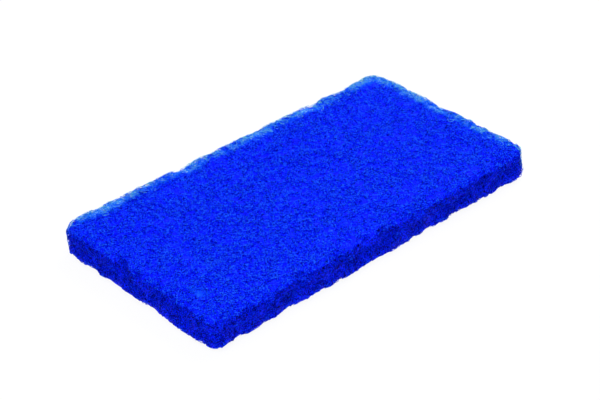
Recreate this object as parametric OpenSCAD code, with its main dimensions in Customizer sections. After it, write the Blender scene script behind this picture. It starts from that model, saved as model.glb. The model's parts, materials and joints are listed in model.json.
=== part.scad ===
// Nylon scouring pad: one slab of lofty, resin-bonded nylon web, cut to a rectangle.
// Its origin is the middle of the face it lies on, with +X along its length and +Z up. Millimetres.

/* [Pad] */
// Length of the pad, over its furthest fibres
pad_length = 245; // [150:5:300]
// Width of the pad, over its furthest fibres
pad_width = 127; // [80:1:160]
// Thickness of the pad, over the crowns of both faces
pad_thickness = 21; // [16:1:32]
// Radius of the four corners, seen from above
corner_radius = 10; // [9:1:20]
// Radius of the soft arris between each face and the cut side
arris_radius = 6; // [3:0.5:6]

/* [Cut side] */
// How deep the long, shallow bays in the cut side are
bay_depth = 2.2; // [0:0.1:2.8]
// Distance from one bay to the next
bay_pitch = 30; // [18:1:60]
// How deep the notches between clumps of fibre are
notch_depth = 1.8; // [0:0.1:2.2]
// Distance from one notch to the next
notch_pitch = 10; // [8:0.5:20]
// How far the middle of the cut side draws in
waist_depth = 0.5; // [0:0.1:2]

/* [Faces] */
// How deep the hollows between the tufts of a face are
hollow_depth = 1.3; // [0:0.1:1.8]
// Distance from one tuft to the next
tuft_pitch = 11; // [8:0.5:30]

/* [Hidden] */

// Distance between neighbouring points of the skin, away from the corners
skin_step = 3.9;
// Least steps from the end of a straight side to the tip of its corner
least_corner_cells = 2;
// Steps of each arris, from the face to the cut side
arris_steps = 3;
// How far a bite into the cut side draws the face in with it
bite_reach = 14;
// How far the rows of lumps wander, as a share of their pitch
lump_bend = 0.35;
// Where the waves start, in degrees. The hollows' start leaves the middle of each face flat.
bay_start = 75;
notch_start = 215;
hollow_start = 245;
web_blue = [0.03, 0.16, 0.94];

// The flat of a face ends where its arris starts.
flat_half = [pad_length / 2 - arris_radius, pad_width / 2 - arris_radius];
flat_corner = corner_radius - arris_radius;
corner_cells = max(least_corner_cells, round(flat_corner / skin_step));
cells_x = 2 * corner_cells + round(2 * (flat_half.x - flat_corner) / skin_step);
cells_y = 2 * corner_cells + round(2 * (flat_half.y - flat_corner) / skin_step);
around = 2 * (cells_x + cells_y);
// Half the length of the middle line, which runs lengthwise. Bites draw the web towards it.
spine_half = max(0, (pad_length - pad_width) / 2);

// The side's section from the upper face down to the lower one, as [reach past the flat, height].
upper_arris = [for (k = [0:arris_steps])
    let (a = 90 * k / arris_steps)
    [arris_radius * sin(a), pad_thickness - arris_radius * (1 - cos(a))]];
waist = [arris_radius - waist_depth, pad_thickness / 2];
lower_arris = [for (k = [arris_steps:-1:0]) [upper_arris[k].x, pad_thickness - upper_arris[k].y]];
section = concat(upper_arris, [waist], lower_arris);
last_ring = len(section) - 1;

// Three crossed waves in a bent space. They run between -1 and 1, like the lumps of a web.
function wave(p, way, start) = sin(360 * (p * way) + start);
function lumps(p, pitch, start) =
    let (q = p / pitch,
         bent = q + lump_bend * [wave(q, [0.31, 0.47, 0.20], start),
                                 wave(q, [-0.53, 0.29, 0.35], 2 * start),
                                 wave(q, [0.43, -0.37, 0.30], 3 * start)])
    (wave(bent, [0.82, 0.57, 0.21], start)
     + wave(bent, [-0.67, 0.91, 0.45], 2 * start)
     + wave(bent, [0.37, -0.72, 0.53], 3 * start)) / 3;

// How deep the web is hollow at a place of a face, and how much is bitten out of the cut side.
function hollow(x, y) = hollow_depth * max(0, lumps([x, y, 0], tuft_pitch, hollow_start));
function bite(p) = bay_depth * max(0, lumps(p, bay_pitch, bay_start))
    + notch_depth * max(0, lumps(p, notch_pitch, notch_start));

// The nearest place on the pad's middle line.
function on_spine(p) = [sign(p.x) * min(abs(p.x), spine_half), 0];

// A corner's centre, seen from above, and a point's place past it in shares of the flat's radius.
function corner_centre(p) = [for (k = [0, 1]) sign(p[k]) * (flat_half[k] - flat_corner)];
function past_centre(p) = [for (k = [0, 1]) (abs(p[k]) - flat_half[k] + flat_corner) / flat_corner];
function in_corner(p) = let (c = past_centre(p)) c.x > 0 && c.y > 0;

// A point of the plain rectangle, moved so that the rectangle's corners come out round.
function rounded(p) =
    let (c = past_centre(p), centre = corner_centre(p))
    in_corner(p)
        ? [centre.x + sign(p.x) * flat_corner * c.x * sqrt(1 - c.y * c.y / 2),
           centre.y + sign(p.y) * flat_corner * c.y * sqrt(1 - c.x * c.x / 2)]
        : p;

// The way out of the pad at a point of the rectangle's edge.
function outward(p) =
    let (c = past_centre(p), v = rounded(p) - corner_centre(p))
    in_corner(p) ? v / norm(v)
    : c.x > c.y ? [sign(p.x), 0]
    : [0, sign(p.y)];

// How the bite at place q, beside point p of the flat's edge, moves the skin. Its way is halfway
// between square to the edge and straight to the middle line, which keeps corners from folding.
function bite_move(p, q, z) =
    let (out = p - on_spine(p), way = outward(p) + out / norm(out))
    -way / norm(way) * bite([q.x, q.y, z]);

// A point of the side's ring k, beside point p of the flat's edge.
function side_point(p, k) =
    let (q = rounded(p) + outward(p) * section[k].x,
         z = section[k].y,
         bitten = q + bite_move(p, q, z))
    [bitten.x, bitten.y, z];

// The point of the flat's edge that lies straight out from the middle line through a point.
function edge_beside(p) =
    let (v = p - on_spine(p),
         share = max(abs(v.x) / (flat_half.x - spine_half), abs(v.y) / flat_half.y))
    on_spine(p) + v / share;

// A point inside a face. The bite beside it moves it less and less behind the edge, and
// hollows dip under the crowns. The lower face's hollows are the upper face's, turned over.
function face_point(p, z) =
    let (q = rounded(p),
         behind = min(flat_half.x - abs(p.x), flat_half.y - abs(p.y)),
         e = edge_beside(p),
         bitten = behind < bite_reach
             ? q + (1 - behind / bite_reach) * bite_move(e, rounded(e), z)
             : q)
    [bitten.x, bitten.y, z > 0 ? z - hollow(q.x, q.y) : hollow(-q.x, q.y)];

// Where the grid's lines lie along one side: closer together within the reach of a corner.
function line_at(i, cells, half) =
    i > cells / 2 ? -line_at(cells - i, cells, half)
    : i < corner_cells ? flat_corner * i / corner_cells - half
    : (half - flat_corner) * ((i - corner_cells) / (cells / 2 - corner_cells) - 1);

// Steps over the flat's grid, and steps once round its edge, anticlockwise seen from above.
function grid_point(i, j) =
    [line_at(i, cells_x, flat_half.x), line_at(j, cells_y, flat_half.y)];
function edge_step(t) =
    let (s = t % around)
    s < cells_x ? [s, 0]
    : s < cells_x + cells_y ? [cells_x, s - cells_x]
    : s < around - cells_y ? [around - cells_y - s, cells_y]
    : [0, around - s];

// The order of the points: the rings of the side, then the inside of each face.
inner_points = (cells_x - 1) * (cells_y - 1);
function ring_index(t, k) = k * around + t % around;
function on_edge(i, j) = i == 0 || j == 0 || i == cells_x || j == cells_y;
function edge_count(i, j) =
    j == 0 ? i
    : i == cells_x ? cells_x + j
    : j == cells_y ? around - cells_y - i
    : around - j;
function face_index(i, j, face) =
    on_edge(i, j) ? ring_index(edge_count(i, j), face * last_ring)
    : (last_ring + 1) * around + face * inner_points + (i - 1) * (cells_y - 1) + j - 1;

// A patch with four corners as two triangles, cut along either diagonal.
function patch(a, b, c, d, turned) = turned ? [[a, b, d], [b, c, d]] : [[a, b, c], [a, c, d]];

// Neighbouring patches of a face turn their diagonals, but at a corner it runs into the corner.
function is_turned(i, j) =
    let (at_end = [i == 0, i == cells_x - 1], at_side = [j == 0, j == cells_y - 1])
    (at_end[0] && at_side[0]) || (at_end[1] && at_side[1]) ? false
    : (at_end[0] && at_side[1]) || (at_end[1] && at_side[0]) ? true
    : (i + j) % 2 == 0;

module pad() {
    points = concat(
        [for (k = [0:last_ring], t = [0:around - 1])
            let (e = edge_step(t)) side_point(grid_point(e.x, e.y), k)],
        [for (z = [pad_thickness, 0], i = [1:cells_x - 1], j = [1:cells_y - 1])
            face_point(grid_point(i, j), z)]);
    side = [for (k = [0:last_ring - 1], t = [0:around - 1])
        each patch(ring_index(t, k), ring_index(t + 1, k),
                   ring_index(t + 1, k + 1), ring_index(t, k + 1), (t + k) % 2 == 0)];
    upper_face = [for (i = [0:cells_x - 1], j = [0:cells_y - 1])
        each patch(face_index(i, j, 0), face_index(i, j + 1, 0),
                   face_index(i + 1, j + 1, 0), face_index(i + 1, j, 0), is_turned(i, j))];
    lower_face = [for (i = [0:cells_x - 1], j = [0:cells_y - 1])
        each patch(face_index(i, j, 1), face_index(i + 1, j, 1),
                   face_index(i + 1, j + 1, 1), face_index(i, j + 1, 1), is_turned(i, j))];
    color(web_blue)
        polyhedron(points = points, faces = concat(side, upper_face, lower_face), convexity = 4);
}

pad();
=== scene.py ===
# %% [markdown]
# # A nylon scouring pad
# The pad is a slab of lofty nonwoven web. Stiff nylon filaments are crimped, blown into a random
# mat and sprayed with a blue binder resin, which bonds them wherever they cross. The mat is then
# cut to a rectangle. The pad is one piece, and nothing on it moves.
#
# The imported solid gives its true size, its outline and its slow lumps. It can't give the web
# itself, so two kinds of piece stand for the web here. A pitted body fills the slab, where the web
# is too deep and dense for the eye to follow. Curled filaments lie over every side of the body,
# where the eye sees them one by one. A displacement map alone would be cheaper, but it leaves a
# skin that looks baked, and its outline stays smooth.

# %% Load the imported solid
import json
import math

import bmesh
import bpy
import numpy as np
from mathutils import Matrix, Vector, noise
from mathutils.bvhtree import BVHTree

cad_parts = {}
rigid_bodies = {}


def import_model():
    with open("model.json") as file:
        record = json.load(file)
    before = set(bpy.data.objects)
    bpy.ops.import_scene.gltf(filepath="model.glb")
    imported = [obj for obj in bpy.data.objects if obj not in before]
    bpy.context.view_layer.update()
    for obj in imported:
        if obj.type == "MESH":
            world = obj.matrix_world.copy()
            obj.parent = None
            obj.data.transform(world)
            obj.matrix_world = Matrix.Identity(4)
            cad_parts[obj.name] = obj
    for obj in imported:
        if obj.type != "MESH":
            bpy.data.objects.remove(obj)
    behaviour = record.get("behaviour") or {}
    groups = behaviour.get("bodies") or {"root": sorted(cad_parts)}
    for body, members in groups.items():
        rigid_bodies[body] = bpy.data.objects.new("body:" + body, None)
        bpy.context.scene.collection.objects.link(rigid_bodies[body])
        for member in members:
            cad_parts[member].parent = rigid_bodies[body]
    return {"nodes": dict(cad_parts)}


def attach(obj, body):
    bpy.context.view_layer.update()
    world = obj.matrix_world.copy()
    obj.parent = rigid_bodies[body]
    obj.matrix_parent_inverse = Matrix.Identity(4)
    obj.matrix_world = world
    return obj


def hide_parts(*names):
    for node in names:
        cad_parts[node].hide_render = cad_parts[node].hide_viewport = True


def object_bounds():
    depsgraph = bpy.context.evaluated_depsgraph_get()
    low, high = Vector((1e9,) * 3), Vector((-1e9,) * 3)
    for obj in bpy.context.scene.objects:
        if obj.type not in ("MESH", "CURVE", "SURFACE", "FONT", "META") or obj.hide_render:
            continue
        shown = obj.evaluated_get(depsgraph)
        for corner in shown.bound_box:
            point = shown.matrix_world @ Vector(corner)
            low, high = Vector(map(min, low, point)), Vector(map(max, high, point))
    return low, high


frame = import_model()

MM = 0.001
cad_low, cad_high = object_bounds()
pad_solid = frame["nodes"]["pad"]
print("pad, mm:", [round(side / MM, 1) for side in cad_high - cad_low])

# %% [markdown]
# ## The camera
# The pad lies flat and is seen from above its near corner, from about a metre away. The camera
# comes first, so that every later step can be judged in the view it is meant for. It stands on a
# sphere round the middle of the pad, at an azimuth, a height and a distance, and slides a little
# in its own plane to frame the pad. A long lens keeps the two pairs of sides nearly parallel.

# %% Camera
CAMERA_AZIMUTH = -43.61
CAMERA_ELEVATION = 33.55
CAMERA_DISTANCE = 959.5 * MM
CAMERA_SLIDE = (-1.75 * MM, -0.93 * MM)
CAMERA_LENS = 102.48
SENSOR_WIDTH = 36.0


def way_to(azimuth, elevation):
    """The way from the pad to a place round it. Azimuth 0 is -Y, and it turns towards +X."""
    turn, rise = math.radians(azimuth), math.radians(elevation)
    level = math.cos(rise)
    return Vector((math.sin(turn) * level, -math.cos(turn) * level, math.sin(rise)))


def set_camera():
    """Makes the camera and turns it to look at the middle of the pad."""
    back = way_to(CAMERA_AZIMUTH, CAMERA_ELEVATION)
    right = Vector((0, 0, 1)).cross(back).normalized()
    up = back.cross(right)
    camera = bpy.data.objects.new("camera", bpy.data.cameras.new("camera"))
    camera.data.lens = CAMERA_LENS
    camera.data.sensor_width = SENSOR_WIDTH
    middle = (cad_low + cad_high) / 2
    place = middle + back * CAMERA_DISTANCE + right * CAMERA_SLIDE[0] + up * CAMERA_SLIDE[1]
    axes = Matrix((right, up, back)).transposed().to_4x4()
    camera.matrix_world = Matrix.Translation(place) @ axes
    bpy.context.scene.collection.objects.link(camera)
    bpy.context.scene.camera = camera
    return camera


camera = set_camera()
print("camera at, mm:", [round(c / MM) for c in camera.location])

# %% [markdown]
# ## Helpers for materials
# Colours are written as sRGB hex values, as a colour picker shows them, and one function turns
# them into the linear numbers that shaders add up. One more function adds a node, sets it and
# links it, so that a material reads as a short list of steps.

# %% Material helpers


def linear(hex_colour):
    """An sRGB colour such as '#1133ee' as linear red, green, blue and alpha."""
    shares = [int(hex_colour[k:k + 2], 16) / 255 for k in (1, 3, 5)]
    return [s / 12.92 if s <= 0.04045 else ((s + 0.055) / 1.055) ** 2.4 for s in shares] + [1.0]


def new_material(name):
    """An empty material and its node tree."""
    material = bpy.data.materials.new(name)
    material.use_nodes = True
    material.node_tree.nodes.clear()
    return material, material.node_tree


def add_node(tree, kind, inputs=None, links=None, **settings):
    """Adds a node, sets its properties and inputs, and links {input: output socket} into it."""
    node = tree.nodes.new(kind)
    for key, value in settings.items():
        setattr(node, key, value)
    for key, value in (inputs or {}).items():
        node.inputs[key].default_value = value
    for key, socket in (links or {}).items():
        tree.links.new(socket, node.inputs[key])
    return node


print("linear mid grey:", round(linear("#808080")[0], 3))

# %% [markdown]
# ## The blues of the web
# The binder resin carries the dye. One number, the tone, picks a blue from a colour ramp: at 1 a
# bright, very pure blue that leans a little towards sky blue, and at 0 navy. The tone differs at
# random, and part of it is painted shade: it falls with depth in the web and in the body's pits,
# so that the gaps between the filaments are painted navy.
#
# The cut side needs a ramp of its own, darker than the faces, and a stronger grain. The darker
# blues are painted shade, because the light from above reaches the sides less, and part of the
# stronger speckle is painted shade in the gaps between filament ends. The change at the arris is
# sudden. The share called cut blends from one ramp to the other.

# %% Rows of blues
FACE_BLUES = ((0.0, "#000030"), (0.09, "#0004c4"), (0.21, "#000aff"), (0.62, "#0014ff"),
              (0.86, "#0230ff"), (1.0, "#2470ff"))
PAINTED_SHADE_SIDE_BLUES = ((0.0, "#000014"), (0.17, "#000258"), (0.28, "#0004d0"), (0.38, "#000cff"),
             (1.0, "#022cff"))


def blue_ramp(tree, level, blues):
    """A colour ramp through a row of blues."""
    ramp = add_node(tree, "ShaderNodeValToRGB", links={"Fac": level})
    stops = ramp.color_ramp.elements
    stops[0].position, stops[0].color = blues[0][0], linear(blues[0][1])
    stops[1].position, stops[1].color = blues[-1][0], linear(blues[-1][1])
    for position, colour in blues[1:-1]:
        stops.new(position).color = linear(colour)
    return ramp.outputs["Color"]


print("blues on the faces and the cut side:", len(FACE_BLUES), len(PAINTED_SHADE_SIDE_BLUES))

# %% [markdown]
# ## Grain
# Resin dries unevenly, so the tone also changes along each filament. Real drops of resin are
# about 0.1 mm across, which is finer than a pixel from a metre away, so the grain is drawn at
# 0.64 mm, coarse enough to show. A slower cloud of 7 mm mottles the cut side with painted light
# and shade, for clumps of filament that stand forward and back. Both are soft noise between 0 and
# 1. Half is taken off first, so that they darken as much as they brighten.

# %% Grain
GRAIN = 0.64 * MM
GRAIN_DETAIL = 1.0
MOTTLE = 7.0 * MM
MOTTLE_SHARE = 0.3


def shifted(tree, tone, where, size, share, detail=0.0):
    """A tone, moved up and down by a cloud with blots of about a given size."""
    cloud = add_node(tree, "ShaderNodeTexNoise", {"Scale": 1 / size, "Detail": detail},
                     {"Vector": where})
    centred = add_node(tree, "ShaderNodeMath", {1: -0.5}, {0: cloud.outputs["Fac"]},
                       operation="ADD")
    scaled = add_node(tree, "ShaderNodeMath", {1: share}, {0: centred.outputs[0]},
                      operation="MULTIPLY")
    moved = add_node(tree, "ShaderNodeMath", links={0: tone, 1: scaled.outputs[0]},
                     operation="ADD")
    return moved.outputs[0]


print("grain, mm:", round(GRAIN / MM, 2), "mottle, mm:", round(MOTTLE / MM, 1))

# %% [markdown]
# ## Painted backlight and painted glints
# Along the backlit arris, painted backlight turns the blue a paler azure, and where it is
# strongest it adds pale green-white flecks. A few small pale specks all over are painted glints.
# Flecks and glints are the thickest places of a fine cloud, and a Map Range node cuts the rest
# away. The closer together the two ends of an edge are, the crisper the speck.

# %% Flecks
PAINTED_BACKLIGHT_AZURE = "#087cff"
PAINTED_BACKLIGHT_FLECK = "#b8f2dc"
FLECK = 0.65 * MM
FLECK_EDGE = (0.58, 0.66)
FLECKED_BACKLIGHT = (0.35, 1.0)
# Painted glints: pale specks all over that stand in for glints off the resin.
PAINTED_GLINT_COLOUR = "#4090ff"
PAINTED_GLINT_SIZE = 0.5 * MM
PAINTED_GLINT_EDGE = (0.80, 0.84)
PAINTED_GLINT_MOST = 0.6


def specks(tree, where, size, edge, most=1.0):
    """Specks of about a given size: 0 between them, and the most that they may be inside."""
    cloud = add_node(tree, "ShaderNodeTexNoise", {"Scale": 1 / size, "Detail": 0.0},
                     {"Vector": where})
    speck = add_node(tree, "ShaderNodeMapRange",
                     {"From Min": edge[0], "From Max": edge[1], "To Max": most},
                     {"Value": cloud.outputs["Fac"]})
    return speck.outputs[0]


print("fleck, mm:", round(FLECK / MM, 2), "glint, mm:", round(PAINTED_GLINT_SIZE / MM, 2))

# %% [markdown]
# ## The web's blue
# Every point of the web carries three values. Its tone picks a blue from a ramp, its cut share
# blends in the darker ramp of painted side shade, and its painted backlight share lays the paler
# colours over them, before the painted glints go on. The layers go on in turn, each mixed over the
# one before. A Mix node keeps sockets for numbers, vectors and colours in one long row, and the
# colours' own places in it are named here.

# %% The web's blue
FIRST_COLOUR, SECOND_COLOUR, MIXED_COLOUR = 6, 7, 2


def web_blue(tree, face_grain, cut_grain):
    """The web's blue, from the tone, cut and thin values that a piece carries on its points."""
    where = add_node(tree, "ShaderNodeTexCoord").outputs["Object"]
    tone, cut, painted_backlight = (add_node(tree, "ShaderNodeAttribute", attribute_name=name).outputs["Fac"]
                       for name in ("tone", "cut", "painted_backlight"))
    level = shifted(tree, tone, where, GRAIN, face_grain, GRAIN_DETAIL)
    cut_level = shifted(tree, tone, where, GRAIN, cut_grain, GRAIN_DETAIL)
    cut_level = shifted(tree, cut_level, where, MOTTLE, MOTTLE_SHARE)
    mix = add_node(tree, "ShaderNodeMix", data_type="RGBA",
                   links={"Factor": cut,
                          FIRST_COLOUR: blue_ramp(tree, level, FACE_BLUES),
                          SECOND_COLOUR: blue_ramp(tree, cut_level, PAINTED_SHADE_SIDE_BLUES)})
    strongest_backlight = add_node(tree, "ShaderNodeMapRange",
                        {"From Min": FLECKED_BACKLIGHT[0], "From Max": FLECKED_BACKLIGHT[1]},
                        {"Value": painted_backlight})
    flecks = add_node(tree, "ShaderNodeMath", operation="MULTIPLY",
                      links={0: specks(tree, where, FLECK, FLECK_EDGE), 1: strongest_backlight.outputs[0]})
    painted_glints = specks(tree, where, PAINTED_GLINT_SIZE, PAINTED_GLINT_EDGE, PAINTED_GLINT_MOST)
    # Painted backlight, its pale flecks, and painted glints, each mixed over the blue.
    for share, colour in ((painted_backlight, PAINTED_BACKLIGHT_AZURE), (flecks.outputs[0], PAINTED_BACKLIGHT_FLECK), (painted_glints, PAINTED_GLINT_COLOUR)):
        mix = add_node(tree, "ShaderNodeMix", {SECOND_COLOUR: linear(colour)},
                       {"Factor": share, FIRST_COLOUR: mix.outputs[MIXED_COLOUR]},
                       data_type="RGBA")
    return mix.outputs[MIXED_COLOUR], level


print("paler layers over the blues:", PAINTED_BACKLIGHT_AZURE, PAINTED_BACKLIGHT_FLECK, PAINTED_GLINT_COLOUR)

# %% [markdown]
# ## Resin-coated nylon
# The filaments are nylon 66, drawn and crimped, under a coat of resin that dried to a dull film.
# Nylon's IOR is 1.53. The film scatters nearly all of the light, so the gloss is turned almost off
# and the roughness is middling: with more of it, the pure blue would turn milky. The grain is
# strong, because each filament's coat runs from thick to thin every half millimetre.

# %% Resin-coated nylon
NYLON_IOR = 1.53
FILM_ROUGHNESS = 0.5
FILM_GLOSS = 0.01
FACE_GRAIN = 4.2
# The cut side's grain is twice as strong; the extra is painted shade in gaps between ends.
CUT_GRAIN = 8.5


def nylon_surface(tree, colour, roughness, gloss):
    """A dull nylon surface of a given colour, linked to the material's output."""
    surface = add_node(tree, "ShaderNodeBsdfPrincipled",
                       {"Roughness": roughness, "IOR": NYLON_IOR, "Specular IOR Level": gloss},
                       {"Base Color": colour})
    add_node(tree, "ShaderNodeOutputMaterial", links={"Surface": surface.outputs["BSDF"]})
    return surface


def resin_coated_nylon():
    """Nylon under a coat of blue binder resin."""
    material, tree = new_material("resin_coated_nylon")
    blue, _ = web_blue(tree, FACE_GRAIN, CUT_GRAIN)
    nylon_surface(tree, blue, FILM_ROUGHNESS, FILM_GLOSS)
    return material


coated_nylon = resin_coated_nylon()
print("material:", coated_nylon.name)

# %% [markdown]
# ## Nylon with painted backlight
# The finest loose filaments of the backlit arris are drawn in painted backlight: a pale, slightly
# green white, as of light coming through the nylon, and an azure tint. The tone picks a colour
# between the two. These filaments are a little glossier than the film of resin.

# %% Nylon with painted backlight
PAINTED_BACKLIGHT_TINT = "#0488ff"
PAINTED_BACKLIGHT_WHITE = "#80e6cc"
BARE_ROUGHNESS = 0.5
BARE_GLOSS = 0.05


def nylon_with_painted_backlight():
    """Nylon drawn pale, in painted backlight."""
    material, tree = new_material("nylon_with_painted_backlight")
    tone = add_node(tree, "ShaderNodeAttribute", attribute_name="tone").outputs["Fac"]
    mix = add_node(tree, "ShaderNodeMix",
                   {FIRST_COLOUR: linear(PAINTED_BACKLIGHT_TINT), SECOND_COLOUR: linear(PAINTED_BACKLIGHT_WHITE)},
                   {"Factor": tone}, data_type="RGBA")
    nylon_surface(tree, mix.outputs[MIXED_COLOUR], BARE_ROUGHNESS, BARE_GLOSS)
    return material


backlit_nylon = nylon_with_painted_backlight()
print("material:", backlit_nylon.name)

# %% [markdown]
# ## The skin of the solid
# Everything is laid on the solid's own skin, so its outline and lumps aren't written down a second
# time. Its triangles are sorted by tilt into the two faces and the cut side: a normal that points
# more than 0.75 up or down belongs to a face. A search tree over them is built once, because
# thousands of places will be looked up in it.

# %% Skin
FACE_TILT = 0.75
skin = pad_solid.data


def tree_of(faces):
    """A search tree over some of the skin's triangles."""
    return BVHTree.FromPolygons([v.co for v in skin.vertices],
                                [tuple(skin.polygons[f].vertices) for f in faces])


upper_faces = [p.index for p in skin.polygons if p.normal.z > FACE_TILT]
lower_faces = [p.index for p in skin.polygons if p.normal.z < -FACE_TILT]
side_faces = [p.index for p in skin.polygons if abs(p.normal.z) <= FACE_TILT]
skin_tree = tree_of(range(len(skin.polygons)))
print("triangles above, below, at the side:", len(upper_faces), len(lower_faces), len(side_faces))

# %% [markdown]
# ## Places on the skin
# Two things are asked of the skin again and again. One is its nearest point to some place, with
# the way out of the pad there. The other is a handful of random points, spread evenly. For
# these, each triangle is picked by its area, and two random shares lead along two of its edges.
# Where they land past the third edge, they are folded back.

# %% Places on the skin


def nearest_skin(points):
    """The nearest point of the skin to each point, the way out there, and its triangle."""
    places, normals = np.empty_like(points), np.empty_like(points)
    faces = np.empty(len(points), dtype=int)
    for k, point in enumerate(points):
        places[k], normals[k], faces[k], _ = skin_tree.find_nearest(point)
    return places, normals, faces


def skin_samples(count, faces, chance):
    """Random points of some of the skin's triangles, spread evenly over their area."""
    corners = np.array([[skin.vertices[v].co for v in skin.polygons[f].vertices] for f in faces])
    edge_a, edge_b = corners[:, 1] - corners[:, 0], corners[:, 2] - corners[:, 0]
    areas = np.linalg.norm(np.cross(edge_a, edge_b), axis=1)
    pick = chance.choice(len(faces), count, p=areas / areas.sum())
    a, b = chance.random((2, count, 1))
    past = a + b > 1
    a, b = np.where(past, 1 - a, a), np.where(past, 1 - b, b)
    return corners[pick, 0] + a * edge_a[pick] + b * edge_b[pick]


print("a place on the upper face, mm:",
      (skin_samples(1, upper_faces, np.random.default_rng(1))[0] / MM).round(1))

# %% [markdown]
# ## Front sides and backlit sides
# The two sides that face +X and +Y, away from the front lamp, take painted backlight along their
# upper arris: a paler colour, as if light came through the thin web from behind. Their web is also
# drawn looser. The way out of the pad at a place near a side is found from a smaller rectangle: it
# runs from the rectangle's nearest point to the place. A level way lies about midway between the
# ways out of the two front sides, and the cosine of a side's angle to it says how frontal that
# side is.

# %% Front sides and backlit sides
FRONT_SIDES_WAY = Vector((-0.69, -0.724, 0))
SIDE_MARGIN = 12 * MM


def side_way(place):
    """The way out of the nearest side of the pad, level, from a place near it."""
    inner = (cad_high.x - SIDE_MARGIN, cad_high.y - SIDE_MARGIN)
    past = [place[k] - max(-inner[k], min(inner[k], place[k])) for k in (0, 1)]
    return Vector((*past, 0)).normalized()


for name, place in (("+X", (cad_high.x, 0)), ("+Y", (0, cad_high.y))):
    print("how clean the side is that faces", name, round(side_way(place).dot(FRONT_SIDES_WAY), 2))

# %% [markdown]
# ## Where the web is loose and takes painted backlight
# Along the upper arris of the two backlit sides, the filaments are drawn loose, and the colour
# takes painted backlight. Each triangle of the skin gets a share for both. It is 1 right at the
# arris and falls off across the face, down the side, and towards the front sides. The two corners
# between a front side and a backlit one are loose and take painted backlight from top to bottom.

# %% Loose arris
# The web is wholly loose and backlit up to the first distance from the arris, and not at all past
# the second.
ARRIS_REACH = (3.0 * MM, 8.5 * MM)
LOOSE_HEIGHT = (11 * MM, 16 * MM)
# The cosines between which a backlit side turns into a front one, and how far a corner reaches
# either way.
BACKLIT_FADE = (-0.25, 0.15)
CORNER_FADE = 0.4
LOOSE_ENOUGH = 0.5


def rising(value, low, high):
    """A share that rises from 0 at the low value to 1 at the high one."""
    return min(1.0, max(0.0, (value - low) / (high - low)))


def loose_and_backlit_shares():
    """For each skin triangle, how loose the web is and how much painted backlight it takes."""
    face_tree, side_tree = tree_of(upper_faces + lower_faces), tree_of(side_faces)
    shares = np.empty(len(skin.polygons))
    for polygon in skin.polygons:
        away = max(tree.find_nearest(polygon.center)[3] for tree in (face_tree, side_tree))
        at_arris = 1 - rising(away, *ARRIS_REACH)
        frontal = side_way(polygon.center).dot(FRONT_SIDES_WAY)
        backlit = 1 - rising(frontal, *BACKLIT_FADE)
        upper = at_arris * backlit * rising(polygon.center.z, *LOOSE_HEIGHT)
        on_side = abs(polygon.normal.z) <= FACE_TILT
        corner = 1 - rising(abs(frontal), 0.0, CORNER_FADE) if on_side else 0.0
        shares[polygon.index] = max(upper, corner)
    return shares


loose_and_backlit_share = loose_and_backlit_shares()
print("loose triangles:", int((loose_and_backlit_share > LOOSE_ENOUGH).sum()), "of", len(loose_and_backlit_share))

# %% [markdown]
# ## Values that filaments and body share
# Three values follow from a place on the skin. The layer of single filaments is 0.8 mm deep, and
# 1 mm where the web is loose. The cut share, which brings in the painted shade of the sides, goes
# from 0 to 1 halfway down the upper arris, where the face turns into the cut side. Over the lower
# arris it fades out more slowly, which keeps painted light from the floor there. The painted
# backlight share is the looseness broken up into patches of 4 and 13 mm, so that the paler colour
# lies in patches and not in an even band.

# %% Values from a place
PLAIN_LAYER = 0.8 * MM
LOOSE_LAYER = 1.0 * MM
# How far up the normal points where each arris is still face, and where it is all cut side.
CUT_TILT = (0.60, 0.40)
# Over the lower arris the brighter face blues stay: painted light thrown up from the floor.
LOWER_CUT_TILT = (-0.60, -0.05)
# The size of each kind of patch, and how strongly it counts.
PATCHES = ((4 * MM, 1.3), (13 * MM, 0.9))
MEAN_PATCH = 0.5
LEAST_PATCH = 0.1


def layer_depth(faces):
    """How deep the layer of single filaments is under places of the skin."""
    return PLAIN_LAYER + loose_and_backlit_share[faces] * (LOOSE_LAYER - PLAIN_LAYER)


def cut_share(normals):
    """0 on both faces and the upper half of the arris, 1 on the cut side."""
    return np.interp(normals[:, 2], (*LOWER_CUT_TILT, *reversed(CUT_TILT)), (0, 1, 1, 0))


def painted_backlight_share(places, faces):
    """How much painted backlight the web takes: in patches where it is loose, and 0 elsewhere."""
    painted_backlight = loose_and_backlit_share[faces].copy()
    for k in np.flatnonzero(painted_backlight > 0):
        place = Vector(places[k])
        patch = MEAN_PATCH + sum(share * noise.noise(place / size) for size, share in PATCHES)
        painted_backlight[k] *= min(1.0, max(LEAST_PATCH, patch))
    return painted_backlight


print("layer, mm:", round(PLAIN_LAYER / MM, 1), "to", round(LOOSE_LAYER / MM, 1))

# %% [markdown]
# ## Walking the filaments
# A crimped filament wanders through the web in tight curls, dives under others and comes up again.
# Particle hair could do this, but it doesn't stay on a lumpy skin and it is hard to keep closed
# and solid. Here each filament takes small steps over the skin from a random start. Its heading
# turns by a rate that itself drifts, which gives curls instead of zigzags, and its depth in the
# layer swings slowly up and down. After every step it is put back on the skin.

# %% Walk
# How far a filament's depth swings, as a share of the layer, and by what angle in each step.
SWING = (0.1, 0.6)
SWING_RATE = (0.4, 1.1)
# How much of its turning rate a filament keeps from step to step, and how much is new.
RATE_KEPT = 0.8
RATE_NEW = 0.6
TURNING = 1 / (1.2 * MM)


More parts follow.
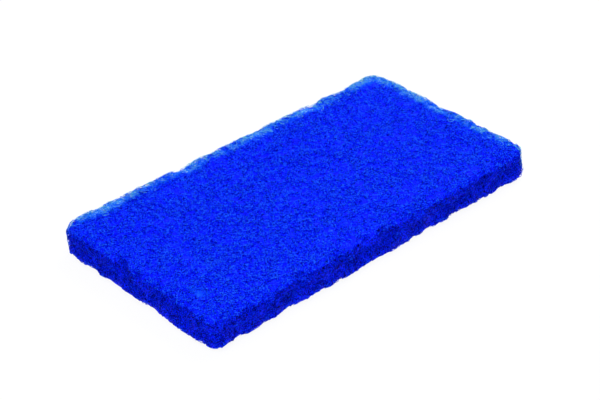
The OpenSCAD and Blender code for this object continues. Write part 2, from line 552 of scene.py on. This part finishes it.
def walk(starts, steps, step, top, bottom, chance):
    """Lays one filament from each start. Gives its points, and depth, thin and cut at each."""
    count = len(starts)
    places, normals, faces = nearest_skin(starts)
    middle = chance.uniform(0.0, 1.0, count)
    swing = chance.uniform(*SWING, count)
    swing_rate = chance.uniform(*SWING_RATE, count)
    swing_start = chance.uniform(0, 2 * math.pi, count)
    heading = chance.normal(size=(count, 3))
    rate = chance.normal(size=count) * TURNING
    path = np.empty((count, steps + 1, 3))
    depth, painted_backlight, cut = (np.empty((count, steps + 1)) for _ in range(3))
    for k in range(steps + 1):
        depth[:, k] = np.clip(middle + swing * np.sin(swing_start + swing_rate * k), 0, 1)
        low = bottom * layer_depth(faces)
        path[:, k] = places - normals * (top + depth[:, k] * (low - top))[:, None]
        painted_backlight[:, k] = painted_backlight_share(places, faces)
        cut[:, k] = cut_share(normals)
        heading -= normals * (heading * normals).sum(axis=1, keepdims=True)
        heading /= np.linalg.norm(heading, axis=1, keepdims=True)
        rate = RATE_KEPT * rate + RATE_NEW * TURNING * chance.normal(size=count)
        turn = (rate * step)[:, None]
        heading = heading * np.cos(turn) + np.cross(normals, heading) * np.sin(turn)
        places, normals, faces = nearest_skin(places + heading * step)
    return path, depth, painted_backlight, cut


print("a filament turns with a radius of about, mm:", round(1 / TURNING / MM, 1))

# %% [markdown]
# ## From paths to tubes
# A poly curve with a small ring as its bevel object sweeps a tube along each path and caps its
# ends. Three sides are enough for a filament thinner than a pixel, and they keep thousands of them
# light. Then the curve becomes a mesh, and its walls are smoothed, so that they look round.

# %% Tubes
TUBE_SIDES = 3


def link_new(name, data):
    """A new object in the scene, at the origin."""
    new = bpy.data.objects.new(name, data)
    bpy.context.scene.collection.objects.link(new)
    return new


def ring_profile(name, diameter):
    """A small closed ring, to be swept along the paths."""
    curve = bpy.data.curves.new(name, "CURVE")
    ring = curve.splines.new("POLY")
    ring.points.add(TUBE_SIDES - 1)
    ring.use_cyclic_u = True
    for k, point in enumerate(ring.points):
        turn = 2 * math.pi * k / TUBE_SIDES
        point.co = (diameter / 2 * math.cos(turn), diameter / 2 * math.sin(turn), 0, 1)
    return link_new(name, curve)


def tubes(name, paths, diameter):
    """One mesh of capped tubes along all the paths."""
    profile = ring_profile(name + "_profile", diameter)
    curve = bpy.data.curves.new(name, "CURVE")
    curve.dimensions = "3D"
    curve.bevel_mode = "OBJECT"
    curve.bevel_object = profile
    curve.use_fill_caps = True
    for path in paths:
        spline = curve.splines.new("POLY")
        spline.points.add(len(path) - 1)
        spline.points.foreach_set("co", np.c_[path, np.ones(len(path))].ravel())
    holder = link_new(name, curve)
    swept = holder.evaluated_get(bpy.context.evaluated_depsgraph_get())
    mesh = bpy.data.meshes.new_from_object(swept)
    mesh.name = name
    for spare in (holder, profile):
        bpy.data.objects.remove(spare)
    # The walls are quads. The caps have a corner for each side of the tube, and stay flat.
    for polygon in mesh.polygons:
        polygon.use_smooth = len(polygon.vertices) != TUBE_SIDES
    return mesh


print("sides of a tube:", TUBE_SIDES)

# %% [markdown]
# ## Values on the tubes
# Every point of a tube has to carry its tone, its thin share and its cut share, and a mesh can
# hold such values as attributes that materials read. The points of a swept mesh come in a known
# order: first the caps, with the last tube's first, and then the walls, ring by ring. So the
# values can be repeated in that order. The caps come apart from the tubes, and once the values
# are stored, they are joined to them, which makes each filament a closed solid.

# %% Values on the tubes
JOIN = 0.0001 * MM


def store_values(mesh, key, values):
    """Writes a value of every path point on the mesh. The caps come first, last tube first."""
    caps = np.repeat(values[::-1, [0, -1]].ravel(), TUBE_SIDES)
    walls = np.repeat(values.ravel(), TUBE_SIDES)
    attribute = mesh.attributes.new(key, "FLOAT", "POINT")
    attribute.data.foreach_set("value", np.concatenate([caps, walls]))


def join_caps(mesh):
    """Joins each cap to the end of its tube."""
    bm = bmesh.new()
    bm.from_mesh(mesh)
    bmesh.ops.remove_doubles(bm, verts=bm.verts, dist=JOIN)
    bm.to_mesh(mesh)
    bm.free()


print("points this close together are joined, mm:", round(JOIN / MM, 5))

# %% [markdown]
# ## The tone along a filament
# Each filament gets a tone of its own, for how much resin it carries, and the tone flickers along
# it as the coat runs thick and thin. Deep filaments are darker and the topmost a little lighter,
# as painted shade and light: filaments deep in the web get less light.
# The filaments' own tones follow a beta distribution. With these two shape numbers most of them
# lie near the middle of their range, and slightly more of them below it.

# %% Tone along a filament
OWN_TONE_SPREAD = (1.4, 1.8)
FLICKER = 0.16
FLICKER_KEPT = 0.55
FLICKER_NEW = 0.83
PLAIN_DEPTH = 0.3
DEPTH_PAINTED_SHADE = 0.25
RANDOM_START = 11
chance = np.random.default_rng(RANDOM_START)


def tones_along(depth, tone_range):
    """The tone at each point: its own, with a flicker, and darker when deep, as painted shade."""
    count, points = depth.shape
    own = tone_range[0] + (tone_range[1] - tone_range[0]) * chance.beta(*OWN_TONE_SPREAD, count)
    flicker = np.empty_like(depth)
    flicker[:, 0] = chance.normal(size=count)
    for k in range(1, points):
        flicker[:, k] = FLICKER_KEPT * flicker[:, k - 1] + FLICKER_NEW * chance.normal(size=count)
    painted_depth_shade = DEPTH_PAINTED_SHADE * (depth - PLAIN_DEPTH)
    return np.clip(own[:, None] + FLICKER * flicker - painted_depth_shade, 0, 1)


print(f"random numbers start from {RANDOM_START}, so every run gives the same pad")

# %% [markdown]
# ## One batch of filaments
# A batch is walked, swept into tubes, and given its values and its finish. Its top layer stands a
# little proud of the skin. Where a path would go through the floor, it is lifted until the tube
# lies clear of it. Every batch rides on the pad's one body.

# %% Lay
TOP = -0.15 * MM
FLOOR_GAP = 0.6


def triangle_count(mesh):
    """How many triangles a mesh's polygons make."""
    return sum(len(polygon.vertices) - 2 for polygon in mesh.polygons)


def lay(name, starts, steps, step, diameter, tone_range, material, top=TOP, bottom=1.0):
    """Lays a batch of filaments and makes it a piece of the pad."""
    path, depth, painted_backlight, cut = walk(starts, steps, step, top, bottom, chance)
    path[..., 2] = np.maximum(path[..., 2], FLOOR_GAP * diameter)
    mesh = tubes(name, path, diameter)
    for key, values in (("tone", tones_along(depth, tone_range)), ("painted_backlight", painted_backlight), ("cut", cut)):
        store_values(mesh, key, values)
    join_caps(mesh)
    mesh.materials.clear()
    mesh.materials.append(material)
    piece = link_new(name, mesh)
    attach(piece, "root")
    print(name, "filaments", len(path), "triangles", triangle_count(mesh))


print("the layer stands proud of the skin by, mm:", round(-TOP / MM, 2))

# %% [markdown]
# ## Filaments of the upper face and the cut side
# The real filaments are about 0.1 mm thick. At that size the pad would need a few hundred thousand
# of them and none would show, so they are drawn at 0.36 mm, about two thirds of a pixel, and a few
# thousand cover the pad. The upper face takes three batches, which keeps each piece's mesh small.
# Their tones are brighter and closer together than those of the cut side. There the wider spread is
# painted light and shade: bright ends that stand forward, and dark gaps behind them.

# %% Filaments
FILAMENT = 0.36 * MM
BATCH_COUNT = 1250
STEPS = 24
STEP = 0.95 * MM
FACE_TONES = (0.47, 0.73)
SIDE_TONES = (0.3, 0.8)
for batch in (1, 2, 3):
    lay(f"upper_filaments_{batch}", skin_samples(BATCH_COUNT, upper_faces, chance), STEPS, STEP,
        FILAMENT, FACE_TONES, coated_nylon)
lay("side_filaments", skin_samples(BATCH_COUNT, side_faces, chance), STEPS, STEP,
    FILAMENT, SIDE_TONES, coated_nylon)

# %% [markdown]
# ## Filaments of the lower face
# The lower face is the same web, but the pad lies on it and little of it shows. So it takes fewer
# filaments, a little thicker and with longer steps, which make their curls less round.

# %% Lower filaments
LOWER_FILAMENT = 0.38 * MM
LOWER_COUNT = 950
LOWER_STEPS = 20
LOWER_STEP = 1.5 * MM
LOWER_TONES = (0.35, 0.9)
lay("lower_filaments", skin_samples(LOWER_COUNT, lower_faces, chance), LOWER_STEPS, LOWER_STEP,
    LOWER_FILAMENT, LOWER_TONES, coated_nylon)

# %% [markdown]
# ## Loose filaments of the backlit arris
# Along the two backlit sides, fine filaments stand up to 0.6 mm proud of the arris and blur its
# outline. They are short and thin, drawn pale in painted backlight, and they crowd in some
# stretches and leave others. So their starts are drawn from the loosest triangles, and kept by a
# chance that a slow cloud sets.
# So their starts are drawn from the loosest triangles, and kept by a chance that a slow cloud sets.

# %% Loose filaments
LOOSE_FILAMENT = 0.16 * MM
LOOSE_COUNT = 900
LOOSE_STEPS = 6
LOOSE_STEP = 1.2 * MM
LOOSE_TONES = (0, 1)
LOOSE_TOP = -0.6 * MM
LOOSE_BOTTOM = 0.4
DRAWS_PER_START = 16
CROWDS = 8 * MM
# The chance that a start is kept, in the mean, and how strongly the cloud moves it.
CROWD_CHANCE = (0.45, 1.1)


def loose_starts():
    """Places along the loose upper arris, thicker in some stretches than in others."""
    loose = [f for f in upper_faces + side_faces
             if loose_and_backlit_share[f] > LOOSE_ENOUGH and skin.polygons[f].center.z > cad_high.z / 2]
    drawn = skin_samples(DRAWS_PER_START * LOOSE_COUNT, loose, chance)
    mean, swing = CROWD_CHANCE
    crowd = np.array([mean + swing * noise.noise(Vector(place) / CROWDS) for place in drawn])
    return drawn[chance.random(len(drawn)) < crowd][:LOOSE_COUNT]


lay("arris_filaments", loose_starts(), LOOSE_STEPS, LOOSE_STEP, LOOSE_FILAMENT, LOOSE_TONES,
    backlit_nylon, LOOSE_TOP, LOOSE_BOTTOM)

# %% [markdown]
# ## The body
# Under the single filaments the web goes on, too dense to lay one by one. The body is a copy of
# the solid with its loose triangles merged, and each edge cut in three, which makes it fine
# enough for pits. A Subdivision Surface modifier would also round its lumps off.

# %% Fine copy of the solid
MERGED_WITHIN = 0.01 * MM
CUTS_PER_EDGE = 2


def fine_copy():
    """A merged and subdivided copy of the solid, as a bmesh."""
    bm = bmesh.new()
    bm.from_mesh(skin)
    bmesh.ops.remove_doubles(bm, verts=bm.verts, dist=MERGED_WITHIN)
    bmesh.ops.recalc_face_normals(bm, faces=bm.faces)
    bmesh.ops.subdivide_edges(bm, edges=bm.edges, cuts=CUTS_PER_EDGE, use_grid_fill=True)
    bm.normal_update()
    return bm


bm = fine_copy()
print("points of the body:", len(bm.verts))

# %% [markdown]
# ## The pits
# The body is pulled in under the filament layer, and two layers of noise pit it, so that dark
# hollows show between the filaments and their rims catch the light. The pits are deeper on the
# cut side. Low on the side the body stays nearly full, so that the pad's lower edge is sharp.
# Modifiers could do the same, but here the pits also have to set the tone of each point, which
# is painted shade: darker in the pits and on the cut side.

# %% Pits
# For each layer of noise, the size of its pits, its share, and where in the noise it starts.
PIT_SIZES = ((1.6 * MM, 1.0, (0, 0, 0)), (3.1 * MM, 0.7, (7, 3, 1)))
PIT_RANGE = (-0.8, 1.0)
# The depth of a pit on the faces and on the cut side. A crown rises by 0.3 of it at most.
PIT_DEPTH = (0.35 * MM, 1.0 * MM)
HIGHEST_CROWN = -0.3
FULL_LIFT_HEIGHT = 9 * MM
LEAST_LIFT = 0.1
BODY_TONE = 0.5
# Painted shade in the body's tone: darker by the first in pits, by the second on the cut side.
PIT_PAINTED_SHADE = 0.25
SIDE_PAINTED_SHADE = 0.12


def pit_at(place):
    """How much a place is hollow, from less than 0 on a crown to 1 in a deep pit."""
    pit = sum(share * noise.noise(place / size + Vector(start)) for size, share, start in PIT_SIZES)
    return max(PIT_RANGE[0], min(PIT_RANGE[1], pit))


def pit_body(bm):
    """Pulls every point in under the filaments, pits it, and stores its tone, thin and cut."""
    tone_layer, backlight_layer, cut_layer = (bm.verts.layers.float.new(key)
                                         for key in ("tone", "painted_backlight", "cut"))
    verts = list(bm.verts)
    places, normals, faces = nearest_skin(np.array([v.co for v in verts]))
    depths, backlight_shares, cuts = layer_depth(faces), painted_backlight_share(places, faces), cut_share(normals)
    height = np.clip(places[:, 2] / FULL_LIFT_HEIGHT, 0, 1)
    lifts = LEAST_LIFT + (1 - LEAST_LIFT) * np.maximum(height, normals[:, 2] < -FACE_TILT)
    sides = 1 - np.clip(np.abs(normals[:, 2]) / FACE_TILT, 0, 1)
    for k, v in enumerate(verts):
        pit = pit_at(v.co)
        pit_depth = PIT_DEPTH[0] + (PIT_DEPTH[1] - PIT_DEPTH[0]) * sides[k]
        v.co -= v.normal * lifts[k] * (depths[k] + pit_depth * max(pit, HIGHEST_CROWN))
        v[tone_layer] = BODY_TONE - PIT_PAINTED_SHADE * pit - SIDE_PAINTED_SHADE * cuts[k]
        v[backlight_layer] = backlight_shares[k]
        v[cut_layer] = cuts[k]


pit_body(bm)
body_mesh = bpy.data.meshes.new("web_body")
bm.to_mesh(body_mesh)
bm.free()
for polygon in body_mesh.polygons:
    polygon.use_smooth = True
print("body triangles:", triangle_count(body_mesh))

# %% [markdown]
# ## Resin-bonded web
# The body's finish is the same resin-coated nylon, seen as a mass. Its grain is weaker than the
# filaments', because it is nearly all in shade. The grain also drives a bump of half a millimetre,
# about the height of a filament over the next. The body replaces the imported solid.

# %% Resin-bonded web
BODY_FACE_GRAIN = 2.2
# Partly painted shade: the body's grain is stronger on the cut side, as on the filaments.
BODY_CUT_GRAIN = 3.5
BODY_ROUGHNESS = 0.6
BODY_GLOSS = 0.05
BUMP_STRENGTH = 0.8
BUMP_HEIGHT = 0.5 * MM


def resin_bonded_web():
    """The inside of the web: coated nylon with a bump."""
    material, tree = new_material("resin_bonded_web")
    blue, level = web_blue(tree, BODY_FACE_GRAIN, BODY_CUT_GRAIN)
    surface = nylon_surface(tree, blue, BODY_ROUGHNESS, BODY_GLOSS)
    bump = add_node(tree, "ShaderNodeBump", {"Strength": BUMP_STRENGTH, "Distance": BUMP_HEIGHT},
                    {"Height": level})
    tree.links.new(bump.outputs["Normal"], surface.inputs["Normal"])
    return material


body_mesh.materials.append(resin_bonded_web())
web_body = link_new("web_body", body_mesh)
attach(web_body, "root")
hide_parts("pad")
print("body, mm:", [round(side / MM, 1) for side in web_body.dimensions])

# %% [markdown]
# ## The floor
# The pad lies on a plain floor that has to look white and still take its shadow. The floor's own
# colour is a pale grey. For rays that come from the camera, off gloss or through something clear,
# most of it is mixed towards a plain white glow of strength 1. Light that bounces off the floor
# onto the pad doesn't see that glow, so the pad isn't lit by it.

# %% Floor
FLOOR_COLOUR = "#f4f4f4"
FLOOR_ROUGHNESS = 0.9
FLOOR_WHITE_SHARE = 0.92
FLOOR_HALF_SIZE = 3.0
WHITE = (1, 1, 1, 1)


def backdrop_rays(tree):
    """1 for rays that reach the backdrop from the camera, off gloss or through something clear."""
    path = add_node(tree, "ShaderNodeLightPath")
    seen = path.outputs["Is Camera Ray"]
    for name in ("Is Glossy Ray", "Is Transmission Ray"):
        most = add_node(tree, "ShaderNodeMath", links={0: seen, 1: path.outputs[name]},
                        operation="MAXIMUM")
        seen = most.outputs[0]
    return seen


def pale_floor():
    """Painted floor, pale and matt."""
    material, tree = new_material("pale_floor")
    paint = add_node(tree, "ShaderNodeBsdfPrincipled",
                     {"Base Color": linear(FLOOR_COLOUR), "Roughness": FLOOR_ROUGHNESS})
    glow = add_node(tree, "ShaderNodeEmission", {"Color": WHITE, "Strength": 1.0})
    share = add_node(tree, "ShaderNodeMath", {1: FLOOR_WHITE_SHARE}, {0: backdrop_rays(tree)},
                     operation="MULTIPLY")
    mix = add_node(tree, "ShaderNodeMixShader",
                   links={0: share.outputs[0], 1: paint.outputs["BSDF"], 2: glow.outputs[0]})
    add_node(tree, "ShaderNodeOutputMaterial", links={"Surface": mix.outputs[0]})
    return material


floor_mesh = bpy.data.meshes.new("floor")
bm = bmesh.new()
bmesh.ops.create_grid(bm, x_segments=1, y_segments=1, size=FLOOR_HALF_SIZE)
bm.to_mesh(floor_mesh)
bm.free()
floor_mesh.materials.append(pale_floor())
floor = link_new("floor", floor_mesh)
print("floor, m:", [round(side, 1) for side in floor.dimensions[:2]])

# %% [markdown]
# ## World and lamps
# The studio is a soft one: an even white world for fill, a large soft lamp before the pad and a
# little to its left, and a weak one on the right, which lifts the far end. Together they light
# the cut sides at a plain level, at which a grey card looks as it is written. A card on the pad
# looks almost half as bright again, and the web needs that, because its gaps swallow light. The
# world is seen as white, too, but it lights the pad with less. The Standard view transform shows
# the colours as they are lit, without a film's look.

# %% World and lamps
FILL_STRENGTH = 0.40


def studio_world():
    """A world that is white to look at and lights with less."""
    world = bpy.data.worlds.new("studio")
    world.use_nodes = True
    tree = world.node_tree
    tree.nodes.clear()
    fill = add_node(tree, "ShaderNodeBackground", {"Color": WHITE, "Strength": FILL_STRENGTH})
    seen = add_node(tree, "ShaderNodeBackground", {"Color": WHITE, "Strength": 1.0})
    mix = add_node(tree, "ShaderNodeMixShader",
                   links={0: backdrop_rays(tree), 1: fill.outputs[0], 2: seen.outputs[0]})
    add_node(tree, "ShaderNodeOutputWorld", links={"Surface": mix.outputs[0]})
    bpy.context.scene.world = world


def soft_lamp(name, azimuth, elevation, distance, size, energy):
    """A square area lamp that looks at the pad."""
    lamp = bpy.data.lights.new(name, "AREA")
    lamp.shape = "SQUARE"
    lamp.size = size
    lamp.energy = energy
    light = link_new(name, lamp)
    light.location = way_to(azimuth, elevation) * distance
    light.rotation_euler = (-light.location).to_track_quat("-Z", "Y").to_euler()
    print(name, "lamp, W:", energy)


studio_world()
soft_lamp("front", azimuth=-52, elevation=56, distance=1.4, size=1.2, energy=17.8)
soft_lamp("right", azimuth=105, elevation=50, distance=0.75, size=0.65, energy=3.8)
bpy.context.scene.view_settings.view_transform = "Standard"
